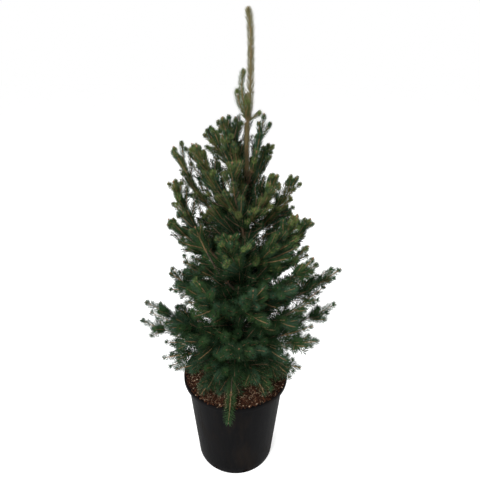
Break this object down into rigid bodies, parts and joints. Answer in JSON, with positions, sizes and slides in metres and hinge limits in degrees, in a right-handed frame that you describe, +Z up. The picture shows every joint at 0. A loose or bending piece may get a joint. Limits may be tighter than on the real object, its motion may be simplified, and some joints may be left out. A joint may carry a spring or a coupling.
{
  "type": "potted white spruce",
  "caption": "Young white spruce with a single leader and rising boughs dense with needle sprays, in a round black nursery pot filled with bark mulch.",
  "frame": {"origin": "centre of the pot's flat underside, on the ground", "axes": "+Z up along the trunk, -Y the front, +X to the right of a viewer at the front"},
  "size_m": [0.4957, 0.3449, 1.135],
  "materials": {
    "black_plastic": "matte charcoal black",
    "bark_mulch": "loose damp bark chips",
    "bark": "rough grey-brown bark",
    "needles": "dull green needles"
  },
  "bodies": {
    "root": {"bough_w3_1": "bark", "bough_w4_1": "bark", "bough_w4_2": "bark", "bough_w4_3": "bark", "bough_w5_1": "bark", "bough_w5_3": "bark", "bough_w5_4": "bark", "bough_w6_1": "bark", "bough_w6_2": "bark", "bough_w6_3": "bark", "bough_w6_4": "bark", "bough_w6_5": "bark", "bough_w6_6": "bark", "leader": "needles", "mass_i2_1": "needles", "mass_i2_2": "needles", "mass_w2_1": "needles", "mass_w2_2": "needles", "mass_w2_3": "needles", "mass_w2_4": "needles", "mass_w2_5": "needles", "mass_w2_6": "needles", "mass_w3_1": "needles", "mass_w3_2": "needles", "mass_w3_3": "needles", "mass_w3_4": "needles", "mass_w3_5": "needles", "mass_w3_6": "needles", "mass_w4_1": "needles", "mass_w4_2": "needles", "mass_w4_3": "needles", "mass_w4_4": "needles", "mass_w4_5": "needles", "mass_w4_6": "needles", "mass_w4_7": "needles", "mass_w5_1": "needles", "mass_w5_2": "needles", "mass_w5_3": "needles", "mass_w5_4": "needles", "mass_w5_5": "needles", "mass_w5_6": "needles", "mass_w5_7": "needles", "mass_w6_1": "needles", "mass_w6_2": "needles", "mass_w6_3": "needles", "mass_w6_4": "needles", "mass_w6_5": "needles", "mass_w6_6": "needles", "mass_w6_7": "needles", "mass_w6_8": "needles", "mass_w7_1": "needles", "mass_w7_2": "needles", "mass_w7_3": "needles", "mass_w7_4": "needles", "mass_w7_5": "needles", "mass_w7_6": "needles", "mass_w8_1": "needles", "pot": "black_plastic", "soil": "bark_mulch", "trunk": "bark"}
  },
  "joints": []
}
